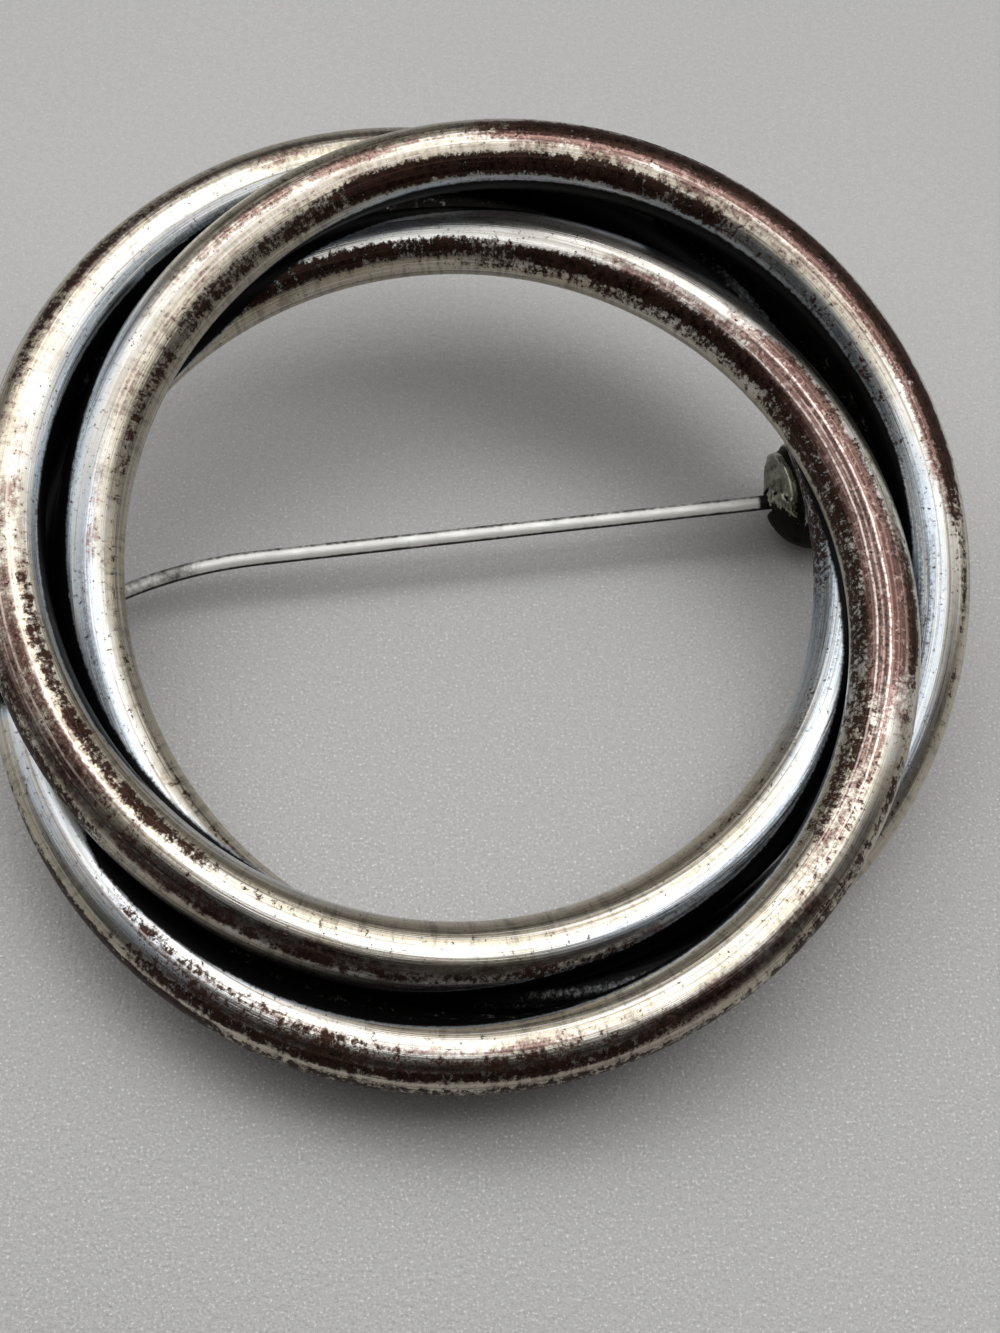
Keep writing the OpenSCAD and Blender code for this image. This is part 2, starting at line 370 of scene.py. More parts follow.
# ---------------------------------------------------------------- materials
class Graph:
    """Short calls for building a node tree."""

    def __init__(self, tree):
        self.tree = tree
        tree.nodes.clear()

    def add(self, kind, **props):
        node = self.tree.nodes.new(kind)
        for key, value in props.items():
            setattr(node, key, value)
        return node

    def feed(self, socket, value):
        if isinstance(value, bpy.types.NodeSocket):
            self.tree.links.new(value, socket)
        elif value is not None:
            socket.default_value = value

    def math(self, op, a, b=None, c=None):
        node = self.add("ShaderNodeMath", operation=op)
        for socket, value in zip(node.inputs, (a, b, c)):
            self.feed(socket, value)
        return node.outputs[0]

    def times(self, a, b):
        return self.math("MULTIPLY", a, b)

    def times_add(self, a, b, c):
        return self.math("MULTIPLY_ADD", a, b, c)

    def one_minus(self, a):
        return self.math("SUBTRACT", 1.0, a)

    def swayed(self, base, pattern, amount):
        """Base plus amount times how far the pattern is from a half."""
        return self.times_add(self.math("SUBTRACT", pattern, 0.5), amount, base)

    def number(self, name):
        return self.add("ShaderNodeAttribute", attribute_name=name).outputs["Fac"]

    def vector(self, name):
        return self.add("ShaderNodeAttribute", attribute_name=name).outputs["Vector"]

    def place(self):
        return self.add("ShaderNodeTexCoord").outputs["Object"]

    def parts(self, vector):
        node = self.add("ShaderNodeSeparateXYZ")
        self.feed(node.inputs[0], vector)
        return node.outputs

    def span(self, value, lo, hi, to_lo=0.0, to_hi=1.0, kind="SMOOTHSTEP"):
        node = self.add("ShaderNodeMapRange", interpolation_type=kind)
        for socket, v in zip(node.inputs, (value, lo, hi, to_lo, to_hi)):
            self.feed(socket, v)
        return node.outputs[0]

    def mix(self, factor, a, b, blend="MIX"):
        node = self.add("ShaderNodeMix", data_type="RGBA", blend_type=blend)
        self.feed(node.inputs["Factor"], factor)
        for socket, value in ((node.inputs[6], a), (node.inputs[7], b)):
            self.feed(socket, value if isinstance(value, bpy.types.NodeSocket) else (*value, 1.0))
        return node.outputs[2]

    def lerp(self, factor, a, b):
        node = self.add("ShaderNodeMix", data_type="FLOAT")
        for socket, value in zip((node.inputs[0], node.inputs[2], node.inputs[3]), (factor, a, b)):
            self.feed(socket, value)
        return node.outputs[0]

    def noise(self, vector, scale, detail, rough, w=None):
        node = self.add("ShaderNodeTexNoise", noise_dimensions="3D" if w is None else "4D")
        self.feed(node.inputs["Vector"], vector)
        if w is not None:
            self.feed(node.inputs["W"], w)
        for key, value in (("Scale", scale), ("Detail", detail), ("Roughness", rough)):
            node.inputs[key].default_value = value
        return node.outputs[0]

    def stretch(self, vector, factors):
        node = self.add("ShaderNodeVectorMath", operation="MULTIPLY")
        self.feed(node.inputs[0], vector)
        node.inputs[1].default_value = factors
        return node.outputs[0]

    def bump(self, height, distance, strength, normal=None):
        node = self.add("ShaderNodeBump")
        node.inputs["Strength"].default_value = strength
        node.inputs["Distance"].default_value = distance
        self.feed(node.inputs["Height"], height)
        if normal is not None:
            self.feed(node.inputs["Normal"], normal)
        return node.outputs[0]

    def surface(self, **inputs):
        shader = self.add("ShaderNodeBsdfPrincipled")
        for key, value in inputs.items():
            socket = shader.inputs[key.replace("_", " ")]
            self.feed(socket, (*value, 1.0) if isinstance(value, tuple) else value)
        out = self.add("ShaderNodeOutputMaterial")
        self.tree.links.new(shader.outputs[0], out.inputs[0])


def material(name):
    mat = bpy.data.materials.new(name)
    mat.use_nodes = True
    return mat, Graph(mat.node_tree)


def shade(colour, factor):
    return tuple(c * factor for c in colour)


# Colours of the worn plate, linear.
SILVER_CLEAN, SILVER_GREY = (0.77, 0.745, 0.69), (0.59, 0.555, 0.50)
STRAW_TINT, STRAW_DRIP = (0.57, 0.505, 0.385), (0.20, 0.18, 0.145)
HAZE_SHEEN_THIN, HAZE_SHEEN_THICK = (0.53, 0.62, 0.71), (0.090, 0.106, 0.132)
LINE_DARK, LINE_BRIGHT, SPECK_BROWN = (0.22, 0.195, 0.175), (0.92, 0.915, 0.90), (0.26, 0.215, 0.18)
ROSE_DARK, ROSE_LIGHT = (0.075, 0.034, 0.028), (0.235, 0.134, 0.112)
ROSE_FLECK, ROSE_SPECK = (0.42, 0.30, 0.27), (0.020, 0.011, 0.010)
UMBER_DARK, UMBER_LIGHT = (0.007, 0.0036, 0.0029), (0.050, 0.0245, 0.0175)
UMBER_LINE, UMBER_SPECK = (0.090, 0.050, 0.038), (0.17, 0.120, 0.092)
# The pink paints the highlight lines; the near-black paints both the oxide in the gaps and the shade between the
# tubes.
PIT_BROWN, HIGHLIGHT_PINK, OXIDE_AND_SHADE_BLACK = (0.03, 0.02, 0.016), (0.78, 0.66, 0.63), (0.0018, 0.0018, 0.0021)
LINE_HALF = 2.6                         # half width of a painted highlight line, degrees round the tube
PLATE_RELIEF, SWELL_RELIEF = 0.0000060, 0.000010    # bump of the fine wear and of the slow dents, metres


def worn_silver(name):
    """Silver plate with rose and brown tarnish, black oxide in the gaps, flecks and fine lines, and painted
    light: shade between the tubes and on their backs, thin highlight lines and a bluish reflection.
    """
    mat, g = material(name)
    flow, w = g.vector("flow"), g.number("flow_w")

    def tube_noise(along, across, contrast, detail, rough):
        n = g.noise(g.stretch(flow, (along, along, across)), 1.0, detail, rough, w=g.times(w, across))
        return g.span(n, 0.5 - 0.5 / contrast, 0.5 + 0.5 / contrast, kind="LINEAR")

    blotch = tube_noise(0.50, 0.85, 2.6, 4, 0.6)
    fleck = tube_noise(3.6, 2.9, 2.6, 4, 0.70)
    speck = tube_noise(7.6, 7.0, 2.8, 3, 0.72)
    lines = tube_noise(0.07, 8.0, 2.8, 3, 0.62)
    hair = tube_noise(0.16, 26.0, 2.4, 2, 0.6)
    drips = tube_noise(3.6, 0.55, 2.6, 3, 0.65)

    def cover(mask, big, small, fine, soft):
        """Share of the surface that a tarnish covers: ragged where its mask is about a half."""
        for part, pattern in ((big, blotch), (small, fleck), (fine, speck)):
            if part:
                mask = g.swayed(mask, pattern, part)
        return g.span(mask, 0.5 - soft, 0.5 + soft)

    round_ = g.math("DEGREES", g.math("ARCTAN2", w, g.parts(flow)["Z"]))
    round_ = g.swayed(round_, blotch, 2.4)
    # Thin bright lines along the tube: painted highlights.
    highlight = 0.0
    for k in range(len(HIGHLIGHT_LINES["ring_right"])):
        off = g.math("ABSOLUTE", g.math("SUBTRACT", round_, g.number(f"worn_{k}_at")))
        highlight = g.math("MAXIMUM", highlight, g.times(g.span(off, LINE_HALF, 0.5), g.number(f"worn_{k}")))
    highlight = g.times(highlight, g.span(fleck, 0.22, 0.62, 0.12, 1.0))

    # Black: oxide from the charts, and painted shade where the tubes come close.
    oxide_shade_mask = g.number("oxide_grime_shade")
    rose = cover(g.number("rose"), 0.50, 0.55, 0.20, 0.24)
    rose = g.times(rose, g.one_minus(g.times(highlight, 0.80)))
    umber = cover(g.swayed(g.number("umber"), drips, 0.22), 0.26, 0.58, 0.42, 0.17)
    oxide_grime_shade = cover(oxide_shade_mask, 0.16, 0.22, 0.20, 0.30)
    straw = cover(g.number("straw"), 0.5, 0.25, 0.0, 0.35)
    # Grey-blue: the chart's painted reflection of a bluish window, and a tarnish film along the oxide's edge.
    haze_and_sheen = g.times(g.number("haze_and_sheen"), g.span(g.times_add(speck, 0.5, lines), 0.25, 0.95, 0.35, 1.0))
    halo = g.times(g.span(oxide_shade_mask, 0.02, 0.40), g.span(oxide_shade_mask, 0.85, 0.45))
    haze_and_sheen = g.math("MAXIMUM", haze_and_sheen, g.times(halo, 0.5))
    pits = g.span(g.times_add(fleck, 0.5, speck), 1.12, 1.22)

    plate = g.mix(blotch, SILVER_CLEAN, SILVER_GREY)
    plate = g.mix(g.times(straw, 0.85), plate, STRAW_TINT)
    plate = g.mix(g.times(straw, g.span(drips, 0.45, 0.9, 0.0, 0.6)), plate, STRAW_DRIP)
    plate = g.mix(g.span(haze_and_sheen, 0.04, 0.42, 0.0, 0.85), plate, HAZE_SHEEN_THIN)
    plate = g.mix(g.span(haze_and_sheen, 0.30, 0.95, 0.0, 0.94), plate, HAZE_SHEEN_THICK)
    plate = g.mix(g.span(lines, 0.40, 0.08, 0.0, 0.65), plate, LINE_DARK)
    plate = g.mix(g.span(lines, 0.62, 0.92, 0.0, 0.65), plate, LINE_BRIGHT)
    plate = g.mix(g.span(speck, 0.62, 0.95, 0.0, 0.30), plate, SPECK_BROWN)
    rose_tone = g.mix(g.span(lines, 0.25, 0.9), ROSE_DARK, ROSE_LIGHT)
    rose_tone = g.mix(g.span(fleck, 0.52, 0.92, 0.0, 0.85), rose_tone, ROSE_FLECK)
    rose_tone = g.mix(g.span(speck, 0.62, 0.95, 0.0, 0.8), rose_tone, ROSE_SPECK)
    umber_tone = g.mix(g.span(fleck, 0.15, 0.85), UMBER_DARK, UMBER_LIGHT)
    umber_tone = g.mix(g.span(lines, 0.55, 0.95, 0.0, 0.6), umber_tone, UMBER_LINE)
    umber_tone = g.mix(g.span(speck, 0.74, 0.98, 0.0, 0.80), umber_tone, UMBER_SPECK)
    colour = g.mix(g.times(rose, 0.96), plate, rose_tone)
    colour = g.mix(umber, colour, umber_tone)
    colour = g.mix(g.times(pits, 0.85), colour, PIT_BROWN)
    colour = g.mix(g.times(highlight, 0.62), colour, HIGHLIGHT_PINK)
    colour = g.mix(oxide_grime_shade, colour, OXIDE_AND_SHADE_BLACK)

    rough = g.swayed(g.lerp(blotch, 0.25, 0.35), hair, 0.14)
    rough = g.lerp(g.times(rose, 0.8), rough, 0.27)
    rough = g.lerp(umber, rough, 0.50)
    rough = g.lerp(oxide_grime_shade, rough, 0.42)
    metal = g.lerp(g.times(umber, 0.30), 1.0, 0.0)
    metal = g.times(metal, g.one_minus(g.times(oxide_grime_shade, 0.8)))

    height = g.times(g.one_minus(g.math("MAXIMUM", umber, pits)), 0.8)
    for pattern, share in ((lines, 0.8), (hair, 0.35), (highlight, 0.5)):
        height = g.times_add(pattern, share, height)
    normal = g.bump(height, PLATE_RELIEF, 1.0)
    normal = g.bump(g.times_add(fleck, 0.22, blotch), SWELL_RELIEF, 0.6, normal)
    g.surface(Base_Color=colour, Roughness=rough, Metallic=metal, Normal=normal, Specular_IOR_Level=0.10)
    return mat


# Near-black of the pieces' dark mask: painted shade, and grime on the solder spots.
GRIME_AND_SHADE = (0.007, 0.006, 0.005)
METAL_RELIEF = 0.000010                 # bump of the plain metals, metres


def plain_metal(name, light, dark, rough, pitted=0.6, metal=1.0, ragged=1.0, gloss=0.08):
    """Dull white metal with fine grain and scratches; the piece's dark mask blackens it, as painted shade on most
    pieces and as grime on the solder spots.
    """
    mat, g = material(name)
    place = g.place()
    cloud = g.span(g.noise(place, 900, 5, 0.6), 0.3, 0.7)
    grain = g.span(g.noise(place, 4200, 3, 0.7), 0.3, 0.7)
    scratch = g.noise(g.stretch(place, (700.0, 9000.0, 9000.0)), 1.0, 2, 0.6)
    oxide_grime_shade = g.swayed(g.number("oxide_grime_shade"), grain, 0.7 * ragged)
    oxide_grime_shade = g.span(g.swayed(oxide_grime_shade, cloud, 0.5 * ragged), 0.2, 0.8)
    colour = g.mix(cloud, light, dark)
    colour = g.mix(g.span(grain, 0.80, 1.0, 0.0, pitted), colour, shade(dark, 0.25))
    colour = g.mix(oxide_grime_shade, colour, GRIME_AND_SHADE)
    g.surface(Base_Color=colour, Roughness=g.lerp(oxide_grime_shade, g.swayed(rough, cloud, 0.16), 0.55),
              Metallic=g.lerp(oxide_grime_shade, metal, 0.05), Specular_IOR_Level=gloss,
              Normal=g.bump(g.times_add(grain, 0.6, scratch), METAL_RELIEF, 0.8))
    return mat


TABLE_GREY = (0.61, 0.61, 0.612)
TABLE_SPARKLE = tuple(min(c * 1.62, 0.98) for c in TABLE_GREY)
TABLE_RELIEF = 0.000062                 # bump of the grain, metres
GRAIN_FAR, GRAIN_NEAR = 0.026, -0.016   # y, in metres, between which the painted specks of the fine grain grow stronger


def table_top(name):
    """Pale grey table with a fine leathery grain; its specks towards the front are painted highlights and shade.
    """
    mat, g = material(name)
    place = g.place()
    near = g.span(g.parts(place)["Y"], GRAIN_FAR, GRAIN_NEAR, 0.30, 1.0)
    cloud = g.noise(place, 28, 3, 0.5)
    grain = g.noise(place, 3400, 3, 0.6)
    fine = g.noise(place, 8500, 2, 0.6)
    colour = g.mix(g.span(cloud, 0.3, 0.7), TABLE_GREY, shade(TABLE_GREY, 0.95))
    colour = g.mix(g.span(grain, 0.35, 0.65, 0.0, 0.30), colour, shade(TABLE_GREY, 0.80))
    # Dark and bright specks of the fine grain, stronger towards the front: painted shade and highlights.
    colour = g.mix(g.times(near, g.span(fine, 0.46, 0.34, 0.0, 0.65)), colour, shade(TABLE_GREY, 0.68))
    colour = g.mix(g.times(near, g.span(fine, 0.58, 0.70, 0.0, 0.85)), colour, TABLE_SPARKLE)
    g.surface(Base_Color=colour, Roughness=0.42, Normal=g.bump(g.times_add(fine, 0.3, grain), TABLE_RELIEF, 0.8))
    return mat


silver = worn_silver("worn_silver_plate")
nickel = plain_metal("nickel", (0.44, 0.44, 0.37), (0.20, 0.20, 0.155), 0.24, pitted=0.3, ragged=0.55)
dull_solder = plain_metal("solder", (0.42, 0.40, 0.37), (0.20, 0.19, 0.17), 0.42)
wire = plain_metal("pin_wire", (0.97, 0.97, 0.94), (0.86, 0.86, 0.83), 0.55,
                   pitted=0.12, metal=0.42, ragged=0.3, gloss=0.28)

for seed, name in enumerate(RINGS):
    ring = make_ring(name, 11 + 7 * seed)
    ring.data.materials.append(silver)
    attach(ring, "brooch")
    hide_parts("ring_frame")

# ---------------------------------------------------------------- ball joint, catch, solder, black webs of painted shade, rivet and pin
# Each is drawn in millimetres on its own axes and then placed: x along the pin, z towards the rings.
# The sizes are those of the CAD source.
PIN_AXES = np.array([(-0.991604, -0.128050, -0.018035), (0.129114, -0.972636, -0.193157),
                     (0.007193, -0.193864, 0.981002)])
END_AXES = np.array([(-0.887643, -0.452989, -0.083011), (0.460475, -0.870183, -0.175340),
                     (0.007193, -0.193864, 0.981002)])
WORLD_AXES, WORLD_ORIGIN = np.eye(3), np.zeros(3)
BALL = np.array([15.277396, 6.490143, 2.299786])
CATCH = np.array([-17.696110, 0.294485, 1.317167])
BALL_R, SLOT_W, SLOT_ROOF, BORE_R = 2.3, 0.95, 1.15, 0.41
CAP_X, CAP_Z = 1.12, 0.46               # where the ball caps its slot above the pin
NECK_Z, NECK_R = (1.2, 2.25), (1.75, 1.15)      # solder between the ball and its ring
GROOVE_X, RIDGE_X = (1.02, 1.44), (1.42, 1.66)  # worked round the ball beside the pin
RIVET_R, RIVET_END = 0.4, 2.25
CATCH_R, CATCH_BORE_R, CATCH_LONG, MOUTH = 1.25, 0.55, 2.4, 0.95
CATCH_FOOT_R, CATCH_ROOT = 1.0, 2.72
EYE_R, EYE_BORE_R, EYE_T, EYE_SOFT = 1.0, 0.44, 0.74, 0.12
PIN_R, PIN_STRAIGHT, BEND_R, BEND = 0.33, 24.6, 20.0, math.radians(20)
PIN_START, PIN_END, PIN_POINT, TIP_R, TIP_CAP = 0.72, 4.6, 2.8, 0.06, 0.03
SOLDER = [(16.832581, -4.468194, 5.644449), (-16.436557, 3.434969, 6.262942),
          (0.723974, -15.317642, 2.391249), (14.962341, 5.016788, 6.455977),
          (-17.644163, -4.846682, 5.439272)]
SOLDER_R = 0.75
CUT = 5                                 # reaches past any small piece that it cuts
ROD_SIDES, RIVET_SIDES, WIRE_SIDES, EYE_SIDES = 48, 40, 32, 72


def sphere(bm, radius, segments):
    bmesh.ops.create_uvsphere(bm, u_segments=segments, v_segments=segments // 2, radius=radius)


def rod(bm, start, end, r0, r1):
    start, end = Vector(start), Vector(end)
    turn = (end - start).to_track_quat("Z", "Y").to_matrix().to_4x4()
    bmesh.ops.create_cone(bm, cap_ends=True, segments=ROD_SIDES, radius1=r0, radius2=r1,
                          depth=(end - start).length, matrix=Matrix.Translation((start + end) / 2) @ turn)


def block(bm, low, high):
    low, high = Vector(low), Vector(high)
    size = Matrix.Diagonal((*(high - low), 1))
    bmesh.ops.create_cube(bm, size=1.0, matrix=Matrix.Translation((low + high) / 2) @ size)


def drawn(name, draw):
    """Object with the mesh that draw makes."""
    bm = bmesh.new()
    draw(bm)
    me = bpy.data.meshes.new(name)
    bm.to_mesh(me)
    bm.free()
    return link(name, me)


def add_boolean(ob, operation, other):
    mod = ob.modifiers.new(operation.lower(), "BOOLEAN")
    mod.operation, mod.solver, mod.object = operation, "EXACT", other


def melted(add, cuts, voxel, relax):
    """Vertices, normals and faces of the joined and cut forms, remeshed so that every edge is soft."""
    base, cutters = drawn("temporary", add), [drawn("temporary", cut) for cut in cuts]

    def remesh():
        mod = base.modifiers.new("remesh", "REMESH")
        mod.mode, mod.voxel_size = "VOXEL", voxel

    remesh()
    for cutter in cutters:
        add_boolean(base, "DIFFERENCE", cutter)
    if cutters:
        remesh()
    mod = base.modifiers.new("relax", "SMOOTH")
    mod.factor, mod.iterations = 0.5, relax
    result = evaluated(base)
    discard((base, *cutters))
    return result


def knocks(points, size, seed):
    """Smooth uneven heights for a hand-worked surface, about -1 to 1."""
    shift = Vector((seed * 3.7, seed * 1.3, -seed * 2.1))
    return np.array([noise.fractal(Vector(p) / size + shift, 0.6, 2.0, 3) for p in points])


def place(name, verts, faces, axes, origin, body, nodes, slot, mat, oxide_grime_shade):
    ob = mesh_object(name, (origin + verts @ axes) * MM, faces)
    put(ob.data, "oxide_grime_shade", "FLOAT", oxide_grime_shade)
    ob.data.materials.append(mat)
    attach(ob, body)
    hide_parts(*nodes)
    return ob


def place_on_brooch(name, verts, faces, axes, origin, mat, oxide_grime_shade):
    return place(name, verts, faces, axes, origin, "brooch", ["ring_frame"], "worn_silver_plate", mat, oxide_grime_shade)


def make_ball_joint():
    def form(bm):
        sphere(bm, BALL_R, 64)
        rod(bm, (0, 0, NECK_Z[0]), (0, 0, NECK_Z[1]), *NECK_R)

    verts, normals, faces = melted(
        form,
        [lambda bm: block(bm, (-CUT, -SLOT_W / 2, -CUT), (CAP_X, SLOT_W / 2, SLOT_ROOF)),
         lambda bm: block(bm, (CAP_X - 0.1, -SLOT_W / 2, -CUT), (CUT, SLOT_W / 2, CAP_Z)),
         lambda bm: rod(bm, (0, -4, 0), (0, 4, 0), BORE_R, BORE_R)], 0.055, 4)
    x, y, z = verts.T
    rough = knocks(verts, 0.28, 3)
    # Relief: a groove and a ridge beside the pin, a slanting lip with the underside below it, and a swell.
    outer = smooth((np.linalg.norm(verts, axis=1) - 2.0) / 0.2)
    groove = smooth((x - GROOVE_X[0]) / 0.12) * smooth((GROOVE_X[1] - x) / 0.12) * smooth((z + 0.1) / 0.3)
    ridge = smooth((x - RIDGE_X[0]) / 0.08) * smooth((RIDGE_X[1] - x) / 0.1) * smooth((z + 0.3) / 0.3)
    below = y - 0.1 - 1.2 * (2.31 - x)
    groove, ridge = outer * groove, outer * ridge * smooth((0.1 - below) / 0.15)
    lip = outer * smooth((0.45 - np.abs(below + 0.22)) / 0.2) * smooth((z + 0.5) / 0.4)
    swell = outer * smooth((-y - 0.5) / 1.3) * smooth((z + 0.6) / 0.8) * smooth((x + 0.4) / 1.0)
    lift = (0.012 * knocks(verts, 0.9, 1) - 0.10 * groove + 0.06 * ridge + 0.07 * lip * (1 + rough)
            + 0.44 * swell - 0.02)
    verts = verts + normals * lift[:, None]
    inside = (np.abs(y) < SLOT_W / 2 + 0.02) & (z < np.where(x > CAP_X, CAP_Z, SLOT_ROOF) + 0.05)
    # Blackened on the south side, below the lip, in the slot and the groove, where it meets the ring and
    # underneath, and a little all over, most towards the pin: painted shade. The lip is also mottled, and the
    # ridge kept clear.
    oxide_grime_shade = np.maximum.reduce([
        smooth((y - 1.45 - 0.25 * rough) / 0.35),
        outer * smooth((below - 0.04 - 0.15 * rough) / 0.14),
        outer * (0.28 + 0.16 * smooth((x - 1.75) / 0.4)) * (1 - lip),
        np.where(inside, 0.9, 0.0),
        groove * 0.95,
        outer * smooth((1.1 - x) / 0.3) * smooth((z - 0.6) / 0.5),
        smooth((-z - 0.4) / 0.5) * (1 - 0.7 * lip),
        0.75 * smooth(-rough * 2.2) * lip])
    place_on_brooch("ball_joint", verts, faces, PIN_AXES, BALL, nickel, oxide_grime_shade * (1 - 0.9 * ridge))


def make_catch():
    half = CATCH_LONG / 2

    def form(bm):
        rod(bm, (-half, 0, 0), (half, 0, 0), CATCH_R, CATCH_R)
        rod(bm, (0, 0, 0.2), (0, 0, CATCH_ROOT), CATCH_FOOT_R, CATCH_FOOT_R)
        rod(bm, (0, 0, CATCH_ROOT - 1.0), (0, 0, CATCH_ROOT - 0.1), CATCH_FOOT_R * 0.9, CATCH_FOOT_R * 1.35)

    verts, normals, faces = melted(
        form,
        [lambda bm: rod(bm, (-CUT, 0, 0), (CUT, 0, 0), CATCH_BORE_R, CATCH_BORE_R),
         lambda bm: block(bm, (-CUT, -MOUTH / 2, -CUT), (CUT, MOUTH / 2, 0))], 0.05, 3)
    verts = verts + normals * (0.012 * knocks(verts, 0.6, 5) - 0.012)[:, None]
    _, y, z = verts.T
    # Darker inside the bore and where the foot meets the rings: painted shade.
    oxide_grime_shade = np.maximum(smooth((0.75 - np.hypot(y, z)) / 0.2), 0.9 * smooth((z - 1.2) / 0.7))
    place_on_brooch("catch", verts, faces, END_AXES, CATCH, nickel, oxide_grime_shade)


def make_solder():
    verts, faces, first = [], [], 0
    for k, spot in enumerate(SOLDER):
        v, normals, f = melted(lambda bm: sphere(bm, SOLDER_R, 32), [], 0.07, 1)
        v = v * (1.0, 1.0, 0.92) + normals * (0.05 * knocks(v, 0.5, 20 + k) - 0.05)[:, None]
        verts.append(v + spot)
        faces += [tuple(i + first for i in face) for face in f]
        first += len(v)
    verts = np.concatenate(verts)
    oxide_grime_shade = 0.35 + 0.5 * np.clip(knocks(verts, 0.7, 31), -0.5, 1)
    place_on_brooch("solder_spots", verts, faces, WORLD_AXES, WORLD_ORIGIN, dull_solder, oxide_grime_shade)


def ring_at(name, bearing):
    """Point of a ring's centre line at a bearing from the origin, seen from above."""
    centre, normal, _, _ = ring_axes(name)
    way, reach = np.array([math.cos(bearing), math.sin(bearing), 0]), RING_R
    for _ in range(6):
        v = reach * way - centre
        v[2] = 0
        p = centre + RING_R * unit(v - (v @ normal) * normal)
        reach = math.hypot(p[0], p[1])
    return p


# Black webs that close the gaps between two tubes, where the table would show through: painted shade.
# Columns: rings, bearings from and to in degrees, and how deep the web lies below the tubes' centre lines.
SHADE_WEBS = [("ring_right", "ring_left", 2, 66, 0.9), ("ring_lower", "ring_left", 36, 166, 0.25),
         ("ring_right", "ring_lower", 176, 310, 0.25)]
WEB_T, WEB_END_T = 0.42, 0.06
WEB_STEPS, WEB_RIBS = 90, 8           # sections along a web, and points across each of its faces


def make_shade_webs():
    verts, faces = [], []
    steps, ribs = WEB_STEPS, WEB_RIBS
    for one, two, start, end, sunk in SHADE_WEBS:
        first = len(verts)
        for i in range(steps + 1):
            bearing = math.radians(start + (end - start) * i / steps)
            a, b = ring_at(one, bearing), ring_at(two, bearing)
            thick = WEB_T * float(smooth(min(i, steps - i) / 12)) + WEB_END_T
            across = unit(b - a)
            around = np.array([-math.sin(bearing), math.cos(bearing), 0])
            up = unit(np.cross(across, around))
            up = up if up[2] > 0 else -up
            for side in (1, -1):
                for j in range(ribs):
                    t = j / (ribs - 1) if side > 0 else 1 - j / (ribs - 1)
                    waist = 0.75 + 0.5 * abs(2 * t - 1)
                    verts.append(a + (b - a) * (0.15 + 0.7 * t) + side * thick / 2 * waist * up - sunk * UP)
        m = 2 * ribs
        for i in range(steps):
            for j in range(m):
                p, q = first + i * m, first + (i + 1) * m
                faces.append((p + j, p + (j + 1) % m, q + (j + 1) % m, q + j))
        faces.append(tuple(first + j for j in reversed(range(m))))
        faces.append(tuple(first + steps * m + j for j in range(m)))
    verts = np.array(verts)
    verts[:, 2] += 0.05 * knocks(verts, 0.8, 41)
    ob = place_on_brooch("solder_seams", verts, faces, WORLD_AXES, WORLD_ORIGIN, dull_solder, np.ones(len(verts)))
    face_outward(ob)


def turned(profile, segments, seed, amount):
    """Closed solid of revolution round y from (y, radius) points that start and end at radius 0."""
    verts, faces = [(0, profile[0][0], 0)], []
    for y, r in profile[1:-1]:
        for j in range(segments):
            t = 2 * math.pi * j / segments
            verts.append((r * math.cos(t), y, r * math.sin(t)))
    verts.append((0, profile[-1][0], 0))
    rows, last = len(profile) - 2, len(verts) - 1
    for j in range(segments):
        j2 = (j + 1) % segments
        faces.append((0, 1 + j2, 1 + j))
        for i in range(rows - 1):
            a, b = 1 + i * segments, 1 + (i + 1) * segments
            faces.append((a + j, a + j2, b + j2, b + j))
        faces.append((last, 1 + (rows - 1) * segments + j, 1 + (rows - 1) * segments + j2))
    verts = np.array(verts, float)
    verts += amount * knocks(verts, 0.3, seed)[:, None] * np.sign(verts)
    return verts, faces


# Peened head of the rivet. Columns: height past the rivet's end, radius.
RIVET_HEAD = [(0.07, 0.0), (0.068, 0.14), (0.055, 0.28), (0.03, 0.40), (-0.01, 0.47), (-0.05, 0.48),
              (-0.085, 0.44), (-0.11, RIVET_R)]


def make_rivet():
    profile = ([(-RIVET_END - h, r) for h, r in RIVET_HEAD]
               + [(RIVET_END + h, r) for h, r in reversed(RIVET_HEAD)])
    verts, faces = turned(profile, RIVET_SIDES, 8, 0.02)
    # Darker along the shank, which lies inside the ball: painted shade; a quarter dark all over.
    oxide_grime_shade = 0.45 * smooth((RIVET_END - np.abs(verts[:, 1])) / 0.1) + 0.25
    place("rivet", verts, faces, PIN_AXES, BALL, "brooch", ["hinge_rivet"], "rivet_steel", wire, oxide_grime_shade)


def pin_path():
    """Points, tangents, distances and radii of the pin's wire."""
    far = PIN_STRAIGHT + BEND_R * BEND
    s = np.concatenate([np.linspace(PIN_START, PIN_STRAIGHT, 260), np.linspace(PIN_STRAIGHT, far, 60)[1:],
                        np.linspace(far, far + PIN_END, 90)[1:]])
    turn = np.clip((s - PIN_STRAIGHT) / BEND_R, 0, BEND)
    past = np.maximum(s - far, 0)
    x = np.minimum(s, PIN_STRAIGHT) + BEND_R * np.sin(turn) + past * np.cos(turn)
    y = BEND_R * (1 - np.cos(turn)) + past * np.sin(turn)
    point = np.clip((past - (PIN_END - PIN_POINT)) / PIN_POINT, 0, 1)
    radius = PIN_R + (TIP_R - PIN_R) * point
    radius = radius - 0.006 * (0.5 + 0.5 * np.sin(s * 1.9) * np.sin(s * 0.73 + 1)) * (1 - point)
    return np.stack([x, y, 0 * x], -1), np.stack([np.cos(turn), np.sin(turn), 0 * x], -1), s, radius


